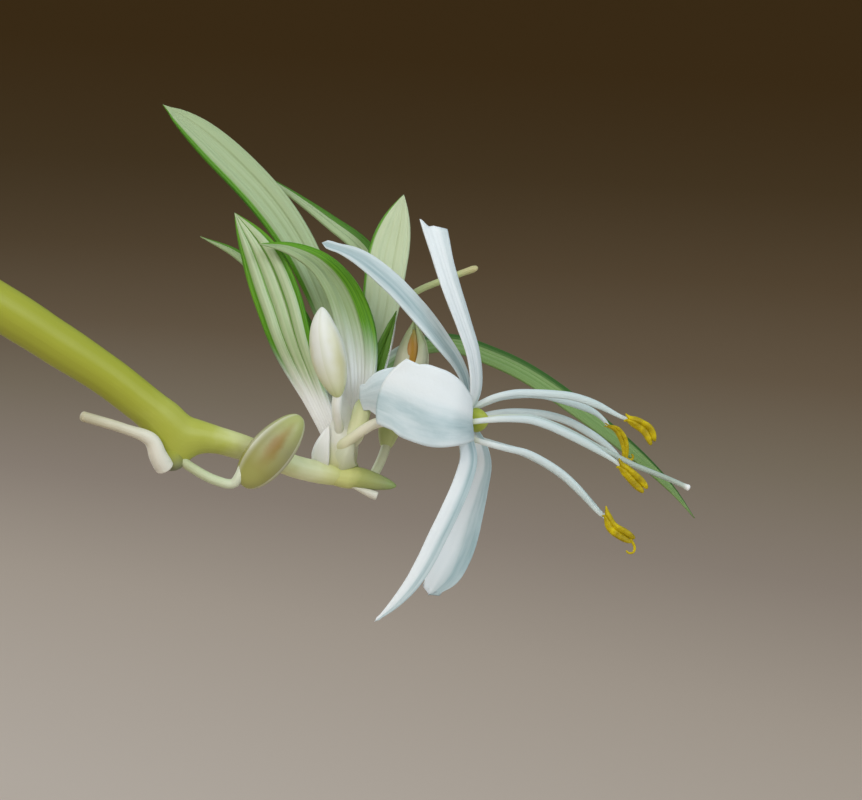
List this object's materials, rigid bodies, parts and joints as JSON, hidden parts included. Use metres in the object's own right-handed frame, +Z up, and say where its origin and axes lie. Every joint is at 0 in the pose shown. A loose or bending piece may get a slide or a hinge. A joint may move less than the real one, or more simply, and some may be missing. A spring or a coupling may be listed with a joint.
{
  "type": "potted spider plant",
  "caption": "Small clay pot of soil with an arching spider plant rosette and one runner that ends in a plantlet, buds and an open flower.",
  "frame": {"origin": "middle of the pot's underside, on the surface that it stands on", "axes": "+Z up along the pot's axis, +X towards the end of the runner, +Y to the left of the runner"},
  "size_m": [0.2843, 0.2468, 0.1525],
  "materials": {
    "clay": "unglazed terracotta, thrown and fired",
    "soil": "damp potting compost of bark and peat",
    "leaf": "waxy leaf, cream middle band and green margins",
    "runner": "smooth fleshy yellow-green stem",
    "young_leaf": "young waxy leaf, cream with green margins, white at the foot",
    "bract": "thin pale green scale leaf",
    "bare_stalk": "smooth cream stalk",
    "bud": "closed tepals, cream with green and rust stripes",
    "tepal": "thin translucent white tepal with grey-blue veins",
    "ovary": "smooth yellow-green ovary",
    "anther": "golden pollen sacs"
  },
  "bodies": {
    "root": {"pot": "clay", "soil": "soil", "rosette": "leaf", "runner": "runner", "plantlet": "young_leaf", "bract_white": "bract", "bract_front": "bract", "end_sheath": "bract", "stalk_bare_lower": "bare_stalk", "stalk_bare_upper": "bare_stalk", "root_tip": "bare_stalk", "bud_lower": "bud", "bud_white": "bud", "bud_spent": "bud", "flower": "tepal", "ovary": "ovary", "style": "tepal", "anther_1": "anther", "anther_2": "anther", "anther_3": "anther", "anther_4": "anther", "anther_5": "anther", "anther_6": "anther"}
  },
  "joints": []
}
